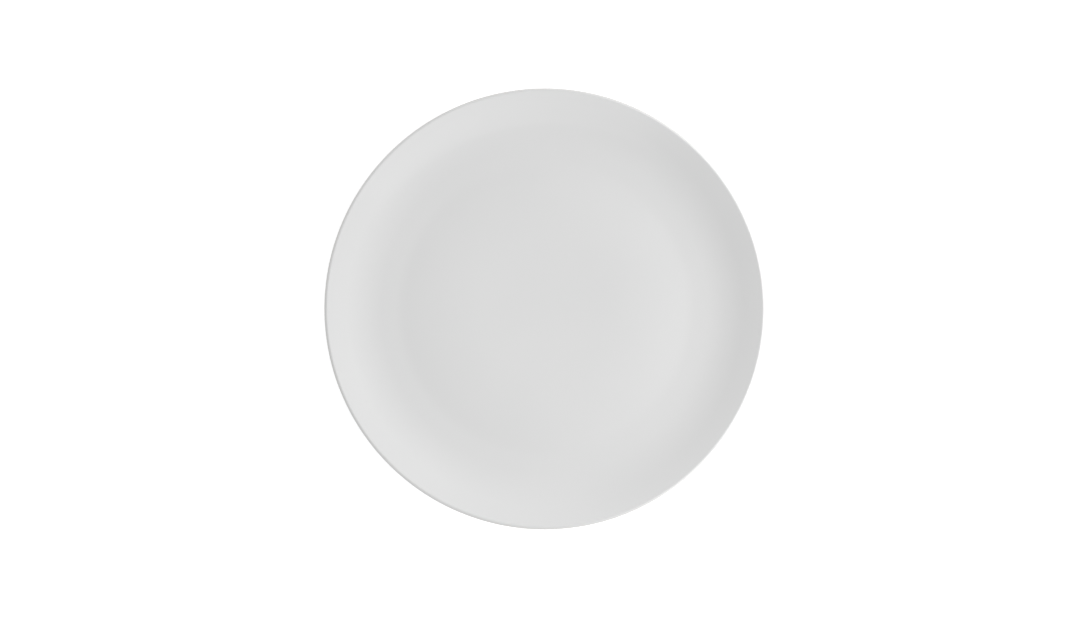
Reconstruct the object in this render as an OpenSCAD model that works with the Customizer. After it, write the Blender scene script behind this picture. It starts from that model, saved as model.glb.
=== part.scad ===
// Coupe charger plate: one turned porcelain body with its foot ring, and the glaze that covers it.
// The origin is on the table, at the middle of the foot ring, with +Z up along the axis of the plate.

/* [Plate] */
// Diameter over the glazed lip
plate_d = 320; // [290:1:350]
// Height from the table to the crest of the lip
plate_h = 22; // [19:0.5:27]
// Thickness of the floor at the middle, glaze included
floor_t = 4.6; // [4:0.1:6]
// Thickness of the rim and of its fully rounded lip, glaze included
lip_t = 3.6; // [3:0.1:4.6]

/* [Face] */
// Diameter of the softly dished middle
dish_d = 200; // [160:1:224]
// Depth of the dish at the middle
dish_h = 2.6; // [1:0.1:3.5]
// Width of the level ring round the dish, out to the well line
ledge_w = 6; // [3:0.5:12]
// Radius of the soft bend at the well line
well_bend_r = 90; // [40:1:140]
// Slope of the shoulder, in degrees
shoulder_angle = 4.5; // [2:0.1:7]
// Share of the way from the well line to the edge of the plate that the shoulder takes up
shoulder_share = 0.48; // [0.3:0.01:0.6]
// Radius of the bend from the shoulder to the rim
rim_bend_r = 100; // [30:1:140]

/* [Foot ring] */
// Diameter at the middle of the bearing land
foot_d = 200; // [160:1:216]
// Width of the flat bearing land
land_w = 2.6; // [1.6:0.1:5]
// Height that the foot lifts the glazed base off the table
foot_h = 3.5; // [3:0.1:5]
// Lean of the two walls of the foot, in degrees
foot_draft = 8; // [2:1:15]
// Radius of the rounded edges of the land
edge_r = 0.8; // [0.4:0.1:0.9]
// Radius of the hollow where the foot meets the glazed underside
root_r = 1.2; // [0.8:0.1:1.4]

/* [Glaze] */
// Thickness of the glaze
glaze_t = 0.3; // [0.2:0.05:0.5]
// Height of the foot that is wiped bare of glaze
bare_h = 1.2; // [1:0.1:1.5]

/* [Hidden] */

// Most that a chord may stray from its arc
chord_tol = 0.02;
// Segments in a full turn
turn_fn = 180;
// Share of the shorter wall beside it that a bend may take up
bend_share = 0.9;

// Dish: two equal tangent arcs, hollow in the middle and rounded over towards its edge
floor_z = foot_h + floor_t;
well_z = floor_z + dish_h;
dish_r = dish_d / 2;
dish_angle = 2 * atan(dish_h / dish_r);
dish_arc_r = dish_r / (2 * sin(dish_angle));

// Well line: the level edge of the floor bends up into the shoulder
well_r = dish_r + ledge_w;
shoulder_w = shoulder_share * (plate_d / 2 - well_r);
well_bend = limited(well_bend_r, shoulder_angle, min(ledge_w, shoulder_w / 2));
well_reach = well_bend * tan(shoulder_angle / 2);
well_bend_c = [well_r - well_reach, well_z + well_bend];

// Rim: a straight slope from the end of the shoulder, touching the round of the lip
lip_r = lip_t / 2;
lip_c = [plate_d / 2 - lip_r, plate_h - lip_r];
corner = [well_r + shoulder_w, well_z + shoulder_w * tan(shoulder_angle)];
to_lip = lip_c - corner;
rim_angle = atan2(to_lip.y, to_lip.x) + asin(lip_r / norm(to_lip));
rim_normal = [sin(rim_angle), -cos(rim_angle)];
rim_end = lip_c - lip_r * rim_normal;

// Bend from the shoulder to the rim
rim_turn = rim_angle - shoulder_angle;
shoulder_room = shoulder_w / cos(shoulder_angle) - well_reach;
rim_bend = limited(rim_bend_r, rim_turn, min(shoulder_room, norm(rim_end - corner)));
rim_start = corner + rim_bend * tan(rim_turn / 2) * [cos(rim_angle), sin(rim_angle)];
rim_bend_c = rim_start - rim_bend * rim_normal;

// Flank: one arc from square below the start of the rim to the top of the foot's outer wall
foot_r = foot_d / 2;
flank_start = rim_start + lip_t * rim_normal;
flank_chord = [wall_x(1, foot_h, 0), foot_h] - flank_start;
flank_r = -(flank_chord * flank_chord) / (2 * (flank_chord * rim_normal));
flank_c = flank_start - flank_r * rim_normal;

// Outer root: a hollow that touches the foot's outer wall and the flank arc
root_gap = root_r / cos(foot_draft);
root_line = [tan(foot_draft), 1];
root_off = [wall_x(1, 0, 0) + root_gap, 0] - flank_c;
root_a = root_line * root_line;
root_b = root_line * root_off;
root_k = root_off * root_off - (flank_r + root_r) ^ 2;
outer_root_z = -(root_b + sign(flank_r) * sqrt(root_b ^ 2 - root_a * root_k)) / root_a;
outer_root_c = [wall_x(1, outer_root_z, 0) + root_gap, outer_root_z];
root_dir = (outer_root_c - flank_c) / (flank_r + root_r);
flank_end_angle = atan2(root_dir.x, -root_dir.y);

// Inner root: the same hollow against the flat base
inner_root_z = foot_h - root_r;
inner_root_c = [wall_x(-1, inner_root_z, 0) - root_gap, inner_root_z];

// Radius of a bend through an angle, held within the room that the walls beside it leave
function limited(r, turn, room) = min(r, bend_share * room / tan(turn / 2));

// Points along an arc about c from angle a to angle b, from point number first on
function arc(c, r, a, b, first = 0) =
    let (steps = max(2, ceil(abs(b - a) / (2 * acos(1 - chord_tol / abs(r))))))
    [for (i = [first : steps]) let (t = a + (b - a) * i / steps) c + r * [cos(t), sin(t)]];

function reversed(line) = [for (i = [len(line) - 1 : -1 : 0]) line[i]];

// Radius of a foot wall at height z: side is 1 outside and -1 inside, depth is measured below the glaze
function wall_x(side, z, depth) =
    let (bare = land_w / 2 + edge_r * cos(foot_draft) + (z - edge_r * (1 - sin(foot_draft))) * tan(foot_draft))
    foot_r + side * (bare + (glaze_t - depth) / cos(foot_draft));

// From the axis over the face, round the lip and down the flank to the foot, at a depth below the glaze
function coat_line(depth) = concat(
    arc([0, floor_z + dish_arc_r], dish_arc_r + depth, -90, dish_angle - 90),
    arc([dish_r, well_z - dish_arc_r], dish_arc_r - depth, dish_angle + 90, 90, 1),
    arc(well_bend_c, well_bend + depth, -90, shoulder_angle - 90),
    arc(rim_bend_c, rim_bend + depth, shoulder_angle - 90, rim_angle - 90),
    arc(lip_c, lip_r - depth, rim_angle + 90, rim_angle - 90),
    arc(flank_c, flank_r - depth, rim_angle - 90, flank_end_angle - 90),
    arc(outer_root_c, root_r + depth, flank_end_angle + 90, 180 - foot_draft, 1));

// From the axis along the base to the inner wall of the foot, at a depth below the glaze
function base_line(depth) = concat(
    [[0, foot_h + depth]],
    arc(inner_root_c, root_r + depth, 90, foot_draft));

// The bare foot, from its outer wall round the land to its inner wall
function foot_line() = concat(
    arc([foot_r + land_w / 2, edge_r], edge_r, -foot_draft, -90),
    arc([foot_r - land_w / 2, edge_r], edge_r, -90, foot_draft - 180));

// The thinned edge of the glaze on a foot wall
function glaze_edge(side) = [
    [wall_x(side, bare_h + glaze_t, 0), bare_h + glaze_t],
    [wall_x(side, bare_h, glaze_t), bare_h]];

module turned(outline) {
    rotate_extrude($fn = turn_fn) polygon(outline);
}

module porcelain_body() {
    color("linen") turned(concat(coat_line(glaze_t), foot_line(), reversed(base_line(glaze_t))));
}

module main_glaze() {
    color("gainsboro") turned(concat(coat_line(0), glaze_edge(1), reversed(coat_line(glaze_t))));
}

module base_glaze() {
    color("gainsboro") turned(concat(base_line(0), glaze_edge(-1), reversed(base_line(glaze_t))));
}

porcelain_body();
main_glaze();
base_glaze();
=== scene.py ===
# %% [markdown]
# # Dressing a white charger plate
# The CAD frame holds a turned porcelain plate as three solids: the body with its foot ring, the coat of
# glaze over the face and outside, and the coat inside the foot ring. This lesson turns the same half
# section into smooth meshes, glazes them, and lights them as a plain product picture from straight above.
# We load the frame first, because every size that follows is read from it or belongs to its section.

# %% Load the frame
import math

import bmesh
import bpy
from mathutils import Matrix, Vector


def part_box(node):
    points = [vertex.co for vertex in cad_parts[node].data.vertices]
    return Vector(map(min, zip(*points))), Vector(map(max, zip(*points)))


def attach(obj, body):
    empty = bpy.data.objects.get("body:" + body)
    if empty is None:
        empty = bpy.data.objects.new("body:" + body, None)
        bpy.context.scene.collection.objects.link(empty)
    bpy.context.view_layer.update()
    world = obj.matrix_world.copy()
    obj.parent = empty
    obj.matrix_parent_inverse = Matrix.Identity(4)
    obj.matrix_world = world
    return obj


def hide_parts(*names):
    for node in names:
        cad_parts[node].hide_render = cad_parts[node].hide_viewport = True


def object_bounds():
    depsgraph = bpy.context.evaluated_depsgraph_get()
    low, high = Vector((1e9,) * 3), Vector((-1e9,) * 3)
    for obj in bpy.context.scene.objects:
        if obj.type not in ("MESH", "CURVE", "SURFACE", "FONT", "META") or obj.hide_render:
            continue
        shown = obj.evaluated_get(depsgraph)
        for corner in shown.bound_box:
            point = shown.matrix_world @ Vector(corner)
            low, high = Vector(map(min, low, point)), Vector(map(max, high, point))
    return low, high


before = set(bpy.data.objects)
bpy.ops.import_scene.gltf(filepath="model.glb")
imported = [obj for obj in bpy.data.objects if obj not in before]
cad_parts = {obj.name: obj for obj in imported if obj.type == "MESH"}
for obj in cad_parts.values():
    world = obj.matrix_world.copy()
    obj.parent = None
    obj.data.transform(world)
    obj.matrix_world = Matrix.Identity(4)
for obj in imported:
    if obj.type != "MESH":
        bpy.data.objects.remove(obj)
cad_low, cad_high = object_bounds()
scene = bpy.context.scene
print("frame:", sorted(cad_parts), "box", tuple(cad_low), tuple(cad_high))

# %% [markdown]
# ## Sizes of the turned section
# A potter works a plate from a few sizes: how wide, how high, how thick, where the floor bends. We keep
# the same few here in metres. The outer ones come from the frame's boxes, so they can't drift from the CAD.
# Slopes are in degrees, and the shoulder's share is of the way from the well line to the edge.

# %% Sizes
MM = 0.001
coat_low, coat_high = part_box("main_glaze")
foot_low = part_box("porcelain_body")[0]
PLATE_R = (coat_high.x - coat_low.x) / 2
PLATE_H = coat_high.z - foot_low.z
FLOOR_T, LIP_T = 4.6 * MM, 3.6 * MM
DISH_R, DISH_H, LEDGE_W = 100 * MM, 2.6 * MM, 6 * MM
WELL_BEND_R, RIM_BEND_R = 90 * MM, 100 * MM
SHOULDER_ANGLE, SHOULDER_SHARE = 4.5, 0.48
FOOT_R, LAND_W, FOOT_H, FOOT_DRAFT = 100 * MM, 2.6 * MM, 3.5 * MM, 8.0
EDGE_R, ROOT_R = 0.8 * MM, 1.2 * MM
GLAZE_T, BARE_H = 0.3 * MM, 1.2 * MM
print(f"plate {2 * PLATE_R / MM:.2f} mm across and {PLATE_H / MM:.2f} mm high")

# %% [markdown]
# ## Arcs of the half section
# The real section is drawn by a profile tool on a spinning plaster mould, so it is made of smooth arcs that
# run into each other. Curves or a Screw modifier could draw it too. Plain points are chosen because
# they can repeat the CAD's own arcs exactly, only with finer steps, so that the gloss shows no facets.

# %% Drawing helpers
WIDEST_TURN, LONGEST_STEP = 5.0, 2.0 * MM
BEND_SHARE = 0.9


def heading(degrees):
    """A unit step in the half section, at an angle up from level."""
    return Vector((math.cos(math.radians(degrees)), math.sin(math.radians(degrees))))


def bend(centre, radius, start, end):
    """Points along an arc of the section, from one angle to another in degrees."""
    length = abs(radius * math.radians(end - start))
    steps = max(2, math.ceil(abs(end - start) / WIDEST_TURN), math.ceil(length / LONGEST_STEP))
    return [centre + radius * heading(start + (end - start) * i / steps) for i in range(steps + 1)]


def slope(degrees):
    """The rise for each step outwards."""
    return math.tan(math.radians(degrees))


def limited(radius, turn, room):
    """The bend's radius, or the largest that its two straight runs have room for."""
    return min(radius, BEND_SHARE * room / slope(turn / 2))


print(f"a quarter round of 1 mm gets {len(bend(Vector((0, 0)), MM, 0, 90))} points")

# %% [markdown]
# ## The face: dish, well line, shoulder and rim
# From the middle out, the face is a shallow dish, a level ring, a faint bend that catches the light as the
# well line, a gently sloping shoulder, and a bend up to the straight rim that ends in a round lip. The
# centres of these bends are worked out here once, as in the CAD.

# %% Bends of the face
floor_z = FOOT_H + FLOOR_T
well_z = floor_z + DISH_H
dish_angle = 2 * math.degrees(math.atan(DISH_H / DISH_R))
dish_arc_r = DISH_R / (2 * math.sin(math.radians(dish_angle)))
well_r = DISH_R + LEDGE_W
shoulder_w = SHOULDER_SHARE * (PLATE_R - well_r)
well_bend = limited(WELL_BEND_R, SHOULDER_ANGLE, min(LEDGE_W, shoulder_w / 2))
well_reach = well_bend * slope(SHOULDER_ANGLE / 2)
well_bend_c = Vector((well_r - well_reach, well_z + well_bend))
lip_r = LIP_T / 2
lip_c = Vector((PLATE_R - lip_r, PLATE_H - lip_r))
corner = Vector((well_r + shoulder_w, well_z + shoulder_w * slope(SHOULDER_ANGLE)))
to_lip = lip_c - corner
rim_angle = math.degrees(math.atan2(to_lip.y, to_lip.x) + math.asin(lip_r / to_lip.length))
rim_out = heading(rim_angle - 90)
rim_end = lip_c - lip_r * rim_out
shoulder_room = shoulder_w / math.cos(math.radians(SHOULDER_ANGLE)) - well_reach
rim_turn = rim_angle - SHOULDER_ANGLE
rim_bend = limited(RIM_BEND_R, rim_turn, min(shoulder_room, (rim_end - corner).length))
rim_start = corner + rim_bend * slope(rim_turn / 2) * heading(rim_angle)
rim_bend_c = rim_start - rim_bend * rim_out
print(f"rim slopes at {rim_angle:.2f} degrees, well line at {well_r / MM:.0f} mm from the axis")

# %% [markdown]
# ## The underside: flank and foot ring
# Underneath, one long arc sweeps from the rim down to the foot ring and meets it in a small root fillet.
# The arc's centre follows from where it starts and ends. The fillet's centre is where a line beside the
# foot's wall meets a circle beside the flank, both a fillet's radius away, which takes a quadratic.

# %% Bends of the underside


def wall_r(side, height, depth):
    """Radius of the foot's outer (1) or inner (-1) wall, at a depth below the glaze's surface."""
    lean = math.radians(FOOT_DRAFT)
    rise = (height - EDGE_R * (1 - math.sin(lean))) * math.tan(lean)
    off = LAND_W / 2 + EDGE_R * math.cos(lean) + rise + (GLAZE_T - depth) / math.cos(lean)
    return FOOT_R + side * off


flank_start = rim_start + LIP_T * rim_out
flank_chord = Vector((wall_r(1, FOOT_H, 0), FOOT_H)) - flank_start
flank_r = -flank_chord.length_squared / (2 * flank_chord.dot(rim_out))
flank_c = flank_start - flank_r * rim_out
root_gap = ROOT_R / math.cos(math.radians(FOOT_DRAFT))
root_line = Vector((slope(FOOT_DRAFT), 1))
root_off = Vector((wall_r(1, 0, 0) + root_gap, 0)) - flank_c
quad_a = root_line.length_squared
quad_b = root_off.dot(root_line)
quad_c = root_off.length_squared - (flank_r + ROOT_R) ** 2
outer_root_z = (-quad_b - math.sqrt(quad_b ** 2 - quad_a * quad_c)) / quad_a
outer_root_c = flank_c + root_off + outer_root_z * root_line
inner_root_c = Vector((wall_r(-1, FOOT_H - ROOT_R, 0) - root_gap, FOOT_H - ROOT_R))
to_root = outer_root_c - flank_c
flank_end = math.degrees(math.atan2(to_root.y, to_root.x)) + 90
print(f"flank radius {flank_r / MM:.1f} mm, it meets the foot at {flank_end:.2f} degrees")

# %% [markdown]
# ## Lines of the section
# Two lines go round the section: the glaze's surface, and the clay a glaze thickness below it. Each is the
# same arcs at another depth, so one function draws both. The glaze's own edge at the foot is a
# small rolled bead, as molten glaze draws back from the strip that was wiped bare before firing.

# %% Lines
BASE_STEPS, BEAD_STEPS = 24, 8
BEAD_SWELL = 0.25


def coat_line(depth):
    """From the axis over the face and the lip and down to the foot's outer wall."""
    line = bend(Vector((0, floor_z + dish_arc_r)), dish_arc_r + depth, -90, dish_angle - 90)
    line += bend(Vector((DISH_R, well_z - dish_arc_r)), dish_arc_r - depth, dish_angle + 90, 90)[1:]
    line += bend(well_bend_c, well_bend + depth, -90, SHOULDER_ANGLE - 90)
    line += bend(rim_bend_c, rim_bend + depth, SHOULDER_ANGLE - 90, rim_angle - 90)
    line += bend(lip_c, lip_r - depth, rim_angle + 90, rim_angle - 90)
    line += bend(flank_c, flank_r - depth, rim_angle - 90, flank_end - 90)
    return line + bend(outer_root_c, ROOT_R + depth, flank_end + 90, 180 - FOOT_DRAFT)[1:]


def base_line(depth):
    """From the axis over the recess inside the foot ring and down to the foot's inner wall."""
    reach = wall_r(-1, FOOT_H, 0)
    line = [Vector((reach * i / BASE_STEPS, FOOT_H + depth)) for i in range(BASE_STEPS)]
    return line + bend(inner_root_c, ROOT_R + depth, 90, FOOT_DRAFT)


def bead(side):
    """The rolled edge of the glaze, from its surface in to the clay."""
    line = []
    for i in range(BEAD_STEPS + 1):
        turn = math.radians(90 * i / BEAD_STEPS)
        proud = GLAZE_T * math.cos(turn) * (1 + BEAD_SWELL * math.sin(2 * turn))
        height = BARE_H + GLAZE_T * (1 - math.sin(turn))
        line.append(Vector((wall_r(side, height, GLAZE_T - proud), height)))
    return line


def foot_line():
    """Round the bare foot, from its outer wall over the land to its inner wall."""
    outer = bend(Vector((FOOT_R + LAND_W / 2, EDGE_R)), EDGE_R, -FOOT_DRAFT, -90)
    return outer + bend(Vector((FOOT_R - LAND_W / 2, EDGE_R)), EDGE_R, -90, FOOT_DRAFT - 180)


body_outline = coat_line(GLAZE_T) + foot_line() + base_line(GLAZE_T)[::-1]
main_outline = coat_line(0) + bead(1) + coat_line(GLAZE_T)[::-1]
base_outline = base_line(GLAZE_T) + bead(-1)[::-1] + base_line(0)[::-1]
print("points in the sections:", len(body_outline), len(main_outline), len(base_outline))

# %% [markdown]
# ## Turning the section
# A plate is a body of revolution, so each outline is swept round the axis. Blender's Screw modifier or Spin
# would do, but a hand-made sweep gives one clean vertex at the axis, a closed solid, and one more
# thing: the line where glaze was wiped off the foot by hand isn't quite level, so it may wander a little.
# Three sine waves round the foot make that wander, and it dies out higher up the wall.

# %% The wheel
SECTORS = 240
WANDER, WANDER_TOP = 0.13 * MM, 2.3 * MM
WANDER_WAVES = ((0.5, 3, 1.0), (0.3, 8, 2.2), (0.2, 19, 0.0))
SHARP = math.radians(40)
ON_AXIS, WELD = 1e-7, 1e-6
CM3 = 1e-6


def wander(turn):
    """How far the wiped line stands above or below its mean height, round the foot."""
    return WANDER * sum(share * math.sin(count * turn + start) for share, count, start in WANDER_WAVES)


def ring(shape, point, side):
    """One ring of the sweep, or its single vertex over and over where the point lies on the axis."""
    if point.x < ON_AXIS:
        return [shape.verts.new((0, 0, point.y))] * SECTORS
    sway = abs(side) * max(0, min(1, (WANDER_TOP - point.y) / (WANDER_TOP - BARE_H)))
    made = []
    for k in range(SECTORS):
        turn = 2 * math.pi * k / SECTORS
        up = sway * wander(turn)
        radius = point.x + side * up * slope(FOOT_DRAFT)
        made.append(shape.verts.new((radius * math.cos(turn), radius * math.sin(turn), point.y + up)))
    return made


def turn_on_wheel(name, outline, side=0):
    """Sweeps a half section that starts and ends on the axis. side is the foot wall its wiped edge is on."""
    shape = bmesh.new()
    loops = [ring(shape, point, side) for point in outline]
    for a, b in zip(loops, loops[1:]):
        for k in range(SECTORS):
            n = (k + 1) % SECTORS
            # At the axis two corners are the same vertex, and the four become a triangle
            corners = dict.fromkeys((a[k], b[k], b[n], a[n]))
            shape.faces.new(corners).smooth = True
    bmesh.ops.remove_doubles(shape, verts=shape.verts, dist=WELD)
    open_edges = sum(not edge.is_manifold for edge in shape.edges)
    volume = shape.calc_volume(signed=True) / CM3
    print(f"{name}: {len(shape.faces)} faces, {volume:.1f} cm3, {open_edges} open edges")
    mesh = bpy.data.meshes.new(name)
    shape.to_mesh(mesh)
    shape.free()
    mesh.set_sharp_from_angle(angle=SHARP)
    piece = bpy.data.objects.new(name, mesh)
    scene.collection.objects.link(piece)
    return piece


print(f"{SECTORS} sectors, the wiped line wanders by up to {WANDER / MM:.2f} mm")

# %% [markdown]
# ## The three turned pieces
# The clay body is what a jigger turns in one go. Dipping gives the main coat over face, lip and flank, and a
# second pour gives the coat inside the foot ring. They stay three pieces, as in the CAD, so each can
# carry its own finish and stands for its own solid.

# %% Turn the pieces
clay_body = turn_on_wheel("clay_body", body_outline)
face_glaze = turn_on_wheel("face_glaze", main_outline, side=1)
recess_glaze = turn_on_wheel("recess_glaze", base_outline, side=-1)

# %% [markdown]
# ## Shader maths
# Finishes are built from node sums, which read best as Python sums. This small class holds one socket, and
# an operator on it adds the Math node. Any other node comes from its one method, settings first and
# then the values or links of its sockets.

# %% Sums on sockets


class Shade:
    """One output socket of a node tree. Sums on it add Math nodes."""

    def __init__(self, tree, socket=None):
        self.tree, self.socket = tree, socket

    def node(self, kind, settings, sockets, output=0):
        """A node of that type with its settings set first, then the values or links of its sockets."""
        made = self.tree.nodes.new(kind)
        for key, value in settings.items():
            setattr(made, key, value)
        for key, value in sockets.items():
            if isinstance(value, Shade):
                self.tree.links.new(value.socket, made.inputs[key])
            else:
                made.inputs[key].default_value = value
        return Shade(self.tree, made.outputs[output])

    def out(self, output):
        """Another output of the same node."""
        return Shade(self.tree, self.socket.node.outputs[output])

    def to(self, shader, key):
        """A link from here into a shader's socket."""
        self.tree.links.new(self.socket, shader.inputs[key])

    def sum(self, operation, *terms):
        """A Math node on one or two terms."""
        return self.node("ShaderNodeMath", {"operation": operation}, dict(enumerate(terms)))

    def __add__(self, other):
        return self.sum("ADD", self, other)

    def __radd__(self, other):
        return self.sum("ADD", other, self)

    def __sub__(self, other):
        return self.sum("SUBTRACT", self, other)

    def __rsub__(self, other):
        return self.sum("SUBTRACT", other, self)

    def __mul__(self, other):
        return self.sum("MULTIPLY", self, other)

    def __rmul__(self, other):
        return self.sum("MULTIPLY", other, self)

    def __pow__(self, other):
        return self.sum("POWER", self, other)

    def __abs__(self):
        return self.sum("ABSOLUTE", self)


def new_finish(name):
    """A node material, its shader, and a start for its sums."""
    material = bpy.data.materials.new(name)
    material.use_nodes = True
    return material, material.node_tree.nodes["Principled BSDF"], Shade(material.node_tree)


print("shader sums ready")

# %% [markdown]
# ## Patterns in the plate's own space
# Glaze and clay share a few patterns: slow drifts, small dots, rings left by the wheel, and a relief of some
# microns. Image textures could hold them, but noise read at places in the plate's own space needs no
# unwrapping and never repeats. Scales are in features per metre, so they can be read as real sizes.

# %% Patterns
MICRON = 1e-6
DOT_CORE = 0.5


def places(shade):
    """The place on the plate, its height, and its distance from the axis."""
    spot = shade.node("ShaderNodeTexCoord", {}, {}, "Object")
    x = shade.node("ShaderNodeSeparateXYZ", {}, {"Vector": spot}, "X")
    return spot, x.out("Z"), (x ** 2 + x.out("Y") ** 2) ** 0.5


def fade(shade, value, low, high):
    """0 at low and 1 at high, with soft ends."""
    return shade.node("ShaderNodeMapRange", {"interpolation_type": "SMOOTHSTEP"},
                      {"Value": value, "From Min": low, "From Max": high})


def mixed(shade, share, a, b):
    """A colour between a and b."""
    return shade.node("ShaderNodeMix", {"data_type": "RGBA"}, {"Factor": share, 6: a, 7: b}, 2)


def noise(shade, spot, per_metre, detail=2.0):
    """Cloudy values from 0 to 1."""
    return shade.node("ShaderNodeTexNoise", {}, {"Vector": spot, "Scale": per_metre, "Detail": detail}, "Fac")


def dots(shade, spot, per_metre, radius):
    """1 on sparse round dots of about that radius in metres, 0 elsewhere."""
    away = shade.node("ShaderNodeTexVoronoi", {}, {"Vector": spot, "Scale": per_metre}, "Distance")
    return 1 - fade(shade, away, DOT_CORE * radius * per_metre, radius * per_metre)


def ring_waves(shade, radius, spacing):
    """Waves between -1 and 1 round the axis."""
    return shade.sum("SINE", radius * (2 * math.pi / spacing))


def raised(shade, shader, microns):
    """Tilts the shader's surface by a relief in microns."""
    relief = shade.node("ShaderNodeBump", {}, {"Height": microns, "Distance": MICRON, "Strength": 1.0})
    relief.to(shader, "Normal")


print("patterns ready")

# %% [markdown]
# ## White gloss glaze
# Fired glaze is a skin of white glass. Close up it isn't perfect: it drifts a little in tone, lies in a faint
# orange peel, carries a few tiny iron specks and pinholes, and still shows the rings of the profile tool
# through its gloss. Where it runs thin over the lip the clay warms it. One finish serves both coats, and
# only the spacing of the tool's rings differs. The pinholes are read some way off in the pattern of dots, so
# that they don't fall on the specks.

# %% Glaze
GLAZE_WHITE, GLAZE_SHADE = (0.690, 0.691, 0.690, 1), (0.682, 0.684, 0.683, 1)
THIN_WHITE, SPECK_BROWN = (0.700, 0.694, 0.676, 1), (0.30, 0.26, 0.22, 1)
DRIFT_PER_M, DRIFT_RANGE = 14.0, (0.3, 0.7)
THIN_FROM, THIN_TO = PLATE_R - 1.2 * MM, PLATE_R - 0.1 * MM
SPECK_PER_M, SPECK_R, SPECK_STRENGTH = 90.0, 0.16 * MM, 0.6
PINHOLE_PER_M, PINHOLE_R, PINHOLE_OFF = 70.0, 0.22 * MM, (0.37, 0.11, 0.53)
PEEL_PER_M, WEAR_PER_M, WEAR_DETAIL = 260.0, 35.0, 4.0
PEEL_MICRONS, RING_MICRONS, PINHOLE_MICRONS = 5.0, 0.25, 30.0
GLOSS_ROUGH, WEAR_ROUGH, PINHOLE_ROUGH = 0.07, 0.05, 0.2
GLAZE_IOR = 1.5
FACE_RINGS, RECESS_RINGS = 4.0 * MM, 2.5 * MM


def glaze_finish(name, ring_spacing):
    """White gloss over the tool's rings."""
    material, shader, shade = new_finish(name)
    spot, _, radius = places(shade)

    drift = fade(shade, noise(shade, spot, DRIFT_PER_M), *DRIFT_RANGE)
    thin = fade(shade, radius, THIN_FROM, THIN_TO)
    specks = dots(shade, spot, SPECK_PER_M, SPECK_R)
    white = mixed(shade, drift, GLAZE_SHADE, GLAZE_WHITE)
    warm = mixed(shade, thin, white, THIN_WHITE)
    mixed(shade, SPECK_STRENGTH * specks, warm, SPECK_BROWN).to(shader, "Base Color")

    peel = noise(shade, spot, PEEL_PER_M)
    waves = ring_waves(shade, radius, ring_spacing)
    aside = shade.node("ShaderNodeVectorMath", {"operation": "ADD"}, {0: spot, 1: PINHOLE_OFF})
    pinholes = dots(shade, aside, PINHOLE_PER_M, PINHOLE_R)
    raised(shade, shader, PEEL_MICRONS * peel + RING_MICRONS * waves - PINHOLE_MICRONS * pinholes)

    wear = noise(shade, spot, WEAR_PER_M, WEAR_DETAIL)
    (GLOSS_ROUGH + WEAR_ROUGH * wear + PINHOLE_ROUGH * pinholes).to(shader, "Roughness")
    shader.inputs["IOR"].default_value = GLAZE_IOR
    return material


face_glaze.data.materials.append(glaze_finish("white_gloss_glaze", FACE_RINGS))
recess_glaze.data.materials.append(glaze_finish("recess_glaze", RECESS_RINGS))
print("glazed:", face_glaze.name, recess_glaze.name)

# %% [markdown]
# ## Bare foot
# The foot's land is wiped before firing, so the plate doesn't stick to the kiln shelf. It shows the fired
# clay: matt, a little warmer than the glaze, with a fine sandy grain, fine turning marks, and grey scuffs
# where it has stood on tables. The same patterns make it, with the scuffs only low down on the land.

# %% Bare clay
CLAY_WHITE, CLAY_WARM = (0.66, 0.645, 0.61, 1), (0.60, 0.575, 0.53, 1)
SCUFF_GREY, SCUFF_STRENGTH = (0.40, 0.395, 0.385, 1), 0.55
GRAIN_PER_M, PATCH_PER_M, SCUFF_PER_M = 2500.0, 60.0, 220.0
CLAY_DETAIL, SCUFF_DETAIL = 3.0, 4.0
PATCH_RANGE, SCUFF_RANGE = (0.35, 0.65), (0.5, 0.72)
SCUFF_FULL, SCUFF_TOP = 0.05 * MM, 0.5 * MM
GRAIN_MICRONS, MARK_MICRONS, MARK_SPACING = 18.0, 4.0, 0.35 * MM
CLAY_ROUGH, GRAIN_ROUGH, SCUFF_POLISH = 0.62, 0.2, 0.12


def clay_finish(name):
    """Matt fired clay, scuffed where it stands."""
    material, shader, shade = new_finish(name)
    spot, height, radius = places(shade)

    grain = noise(shade, spot, GRAIN_PER_M, CLAY_DETAIL)
    patches = fade(shade, noise(shade, spot, PATCH_PER_M, CLAY_DETAIL), *PATCH_RANGE)
    low_down = 1 - fade(shade, height, SCUFF_FULL, SCUFF_TOP)
    scuffs = low_down * fade(shade, noise(shade, spot, SCUFF_PER_M, SCUFF_DETAIL), *SCUFF_RANGE)
    clay = mixed(shade, patches, CLAY_WHITE, CLAY_WARM)
    mixed(shade, SCUFF_STRENGTH * scuffs, clay, SCUFF_GREY).to(shader, "Base Color")

    marks = ring_waves(shade, radius, MARK_SPACING)
    raised(shade, shader, GRAIN_MICRONS * grain + MARK_MICRONS * marks)
    (CLAY_ROUGH + GRAIN_ROUGH * grain - SCUFF_POLISH * scuffs).to(shader, "Roughness")
    return material


clay_body.data.materials.append(clay_finish("bare_fired_clay"))
print("bare clay on", clay_body.name)

# %% [markdown]
# ## What each piece stands for
# The frame wants to know which body a piece rides on and which CAD solid it takes the place of, and the table
# also lists which of the record's finishes it carries. A plate has one rigid body, so all three ride on the
# root.

# %% Ties to the frame
for piece, node, slot in ((clay_body, "porcelain_body", "porcelain"), (face_glaze, "main_glaze", "glaze"),
                          (recess_glaze, "base_glaze", "glaze")):
    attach(piece, "root")
    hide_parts(node)
    print(piece.name, "stands for", node)

# %% [markdown]
# ## Floor
# The picture is a white plate on pure white. Turning the lamps up would wash out the plate, so the floor has
# a glow that only the camera and mirror-like rays see, just strong enough to make it white in the picture.
# Under that glow it stays a real matt surface, lit at a plain level, so the plate's shadow still falls on it.

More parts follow.
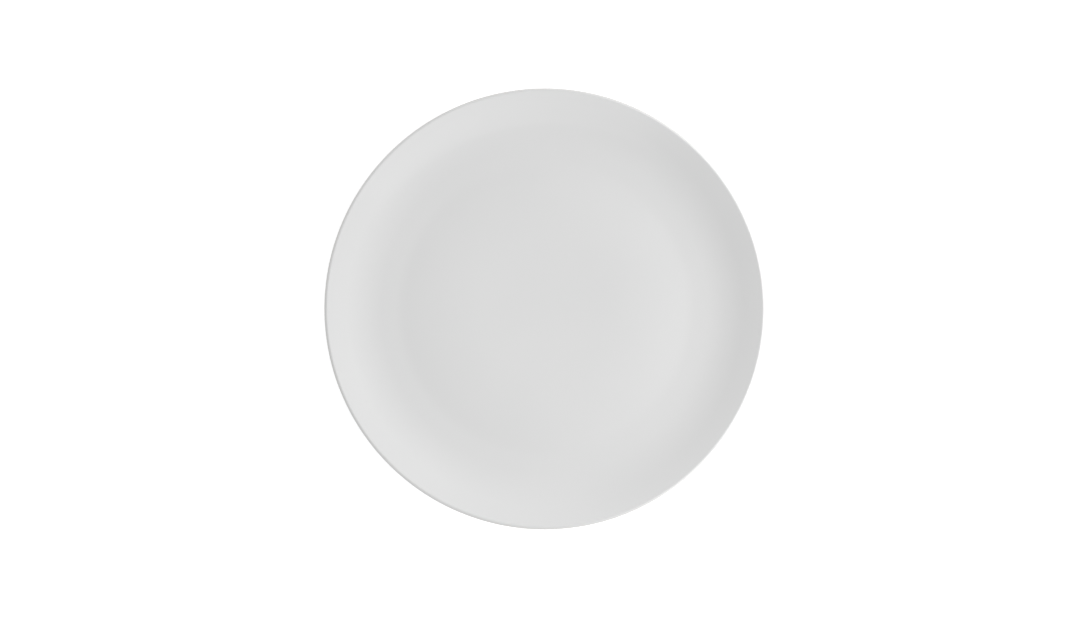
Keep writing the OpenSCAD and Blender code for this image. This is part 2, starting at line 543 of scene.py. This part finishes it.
# %% Pale floor
FLOOR_HALF, FLOOR_DROP = 6.0, 0.1 * MM
FLOOR_WHITE, FLOOR_GLOW = (0.9, 0.9, 0.9, 1), 0.5
PURE_WHITE = (1, 1, 1, 1)


def seen_directly(shade):
    """1 for camera, glossy and transmission rays, else 0."""
    path = shade.node("ShaderNodeLightPath", {}, {}, "Is Camera Ray")
    rays = path + path.out("Is Glossy Ray") + path.out("Is Transmission Ray")
    return shade.sum("MINIMUM", rays, 1)


floor_mesh = bpy.data.meshes.new("floor")
corners = [(FLOOR_HALF * x, FLOOR_HALF * y, 0) for x, y in ((-1, -1), (1, -1), (1, 1), (-1, 1))]
floor_mesh.from_pydata(corners, [], [(0, 1, 2, 3)])
floor = bpy.data.objects.new("floor", floor_mesh)
floor.location.z = cad_low.z - FLOOR_DROP
scene.collection.objects.link(floor)

floor_paint, matt, shade = new_finish("pale_floor")
matt.inputs["Base Color"].default_value = FLOOR_WHITE
matt.inputs["Roughness"].default_value = 1.0
matt.inputs["Specular IOR Level"].default_value = 0.0
plain = Shade(shade.tree, matt.outputs[0])
glow = shade.node("ShaderNodeEmission", {}, {"Color": PURE_WHITE, "Strength": FLOOR_GLOW})
lifted = shade.node("ShaderNodeAddShader", {}, {0: plain, 1: glow})
shown = shade.node("ShaderNodeMixShader", {}, {0: seen_directly(shade), 1: plain, 2: lifted})
shown.to(shade.tree.nodes["Material Output"], "Surface")
floor_mesh.materials.append(floor_paint)
print("floor at", round(floor.location.z / MM, 2), "mm")

# %% [markdown]
# ## Room
# A studio's white walls throw an even light from all round. A sky texture could do that, but one even white
# world is plainer. It lights the plate at less than full strength, and shows as pure white to the camera and
# to mirror-like rays, as the floor does.

# %% White room
AMBIENT = 0.678
world = bpy.data.worlds.new("white_room")
world.use_nodes = True
scene.world = world
room = world.node_tree.nodes["Background"]
room.inputs["Color"].default_value = PURE_WHITE
(AMBIENT + (1 - AMBIENT) * seen_directly(Shade(world.node_tree))).to(room, "Strength")
print("room light", AMBIENT)

# %% [markdown]
# ## Lamps
# The tones of the face say where the light came from. The right side of the floor is lighter than the left,
# so a large soft panel stands close on the right, and a low strip under it makes the right rim, which turns
# away, darker than the left one. A panel behind lifts the near rim. These three light the plate without being
# mirrored in it, as their bright images would wash out the face in low views. A weak box above the near edge
# is mirrored, and shows as the faint step of light on the far rim. Two small windows are mirrored too, but
# only in views from the side, where a glaze shows its gloss. Like real soft boxes, all fade towards their
# edges.

# %% Soft lamps
LAMP_EDGE = 0.25
ON_PLATE = (0.0, 0.0, 0.015)


def soft_lamp(name, place, target, width, height, watts, mirrored):
    """A rectangular soft box that the camera doesn't see, brightest in its middle."""
    lamp = bpy.data.lights.new(name, "AREA")
    lamp.shape, lamp.size, lamp.size_y, lamp.energy = "RECTANGLE", width, height, watts
    lamp.use_nodes = True
    shade = Shade(lamp.node_tree)
    spot = shade.node("ShaderNodeNewGeometry", {}, {}, "Parametric")
    x = shade.node("ShaderNodeSeparateXYZ", {}, {"Vector": spot}, "X")
    inward = [1 - abs(2 * side - 1) for side in (x, x.out("Y"))]
    bright = fade(shade, inward[0], 0, LAMP_EDGE) * fade(shade, inward[1], 0, LAMP_EDGE)
    bright.to(lamp.node_tree.nodes["Emission"], "Color")
    holder = bpy.data.objects.new(name, lamp)
    holder.location = place
    holder.rotation_euler = (Vector(target) - Vector(place)).to_track_quat("-Z", "Y").to_euler()
    holder.visible_camera, holder.visible_glossy = False, mirrored
    scene.collection.objects.link(holder)


soft_lamp("side_panel", (0.58, -0.13, 0.45), (0.0, -0.13, 0.45), 0.9, 0.9, 2.98, False)
soft_lamp("low_side_strip", (0.60, 0.0, 0.15), (0.0, 0.0, 0.15), 0.6, 0.3, 2.96, False)
soft_lamp("back_panel", (0.0, 1.2, 0.25), (0.0, 0.0, 0.25), 1.0, 0.5, 3.75, False)
soft_lamp("front_box", (0.14, -0.62, 0.93), ON_PLATE, 0.92, 0.8, 1.13, True)
soft_lamp("back_window", (-0.35, 0.95, 0.80), ON_PLATE, 0.15, 0.20, 0.28, True)
soft_lamp("front_window", (0.85, -0.50, 0.78), ON_PLATE, 0.15, 0.20, 0.28, True)

# %% [markdown]
# ## Camera
# The outline in the photograph is very nearly a circle, with the well line in its middle, so the camera
# looks straight down. Its height follows from how many pixels the plate spans through the chosen lens, and
# its place from where the middle of the plate is in the picture.

# %% Camera
FRAME_W, FRAME_H = 1088, 620
PLATE_R_PX, PLATE_AT_PX = 220.6, (544.9, 308.9)
LENS, SENSOR = 100.0, 36.0
px_per_m = PLATE_R_PX / PLATE_R
camera = bpy.data.objects.new("camera", bpy.data.cameras.new("camera"))
camera.data.lens, camera.data.sensor_width = LENS, SENSOR
camera.data.dof.use_dof = False
camera.location = ((FRAME_W / 2 - PLATE_AT_PX[0]) / px_per_m, (PLATE_AT_PX[1] - FRAME_H / 2) / px_per_m,
                   lip_c.y + LENS / SENSOR * FRAME_W / px_per_m)
scene.collection.objects.link(camera)
scene.camera = camera
scene.view_settings.view_transform = "Standard"
print("camera height", round(camera.location.z, 3))
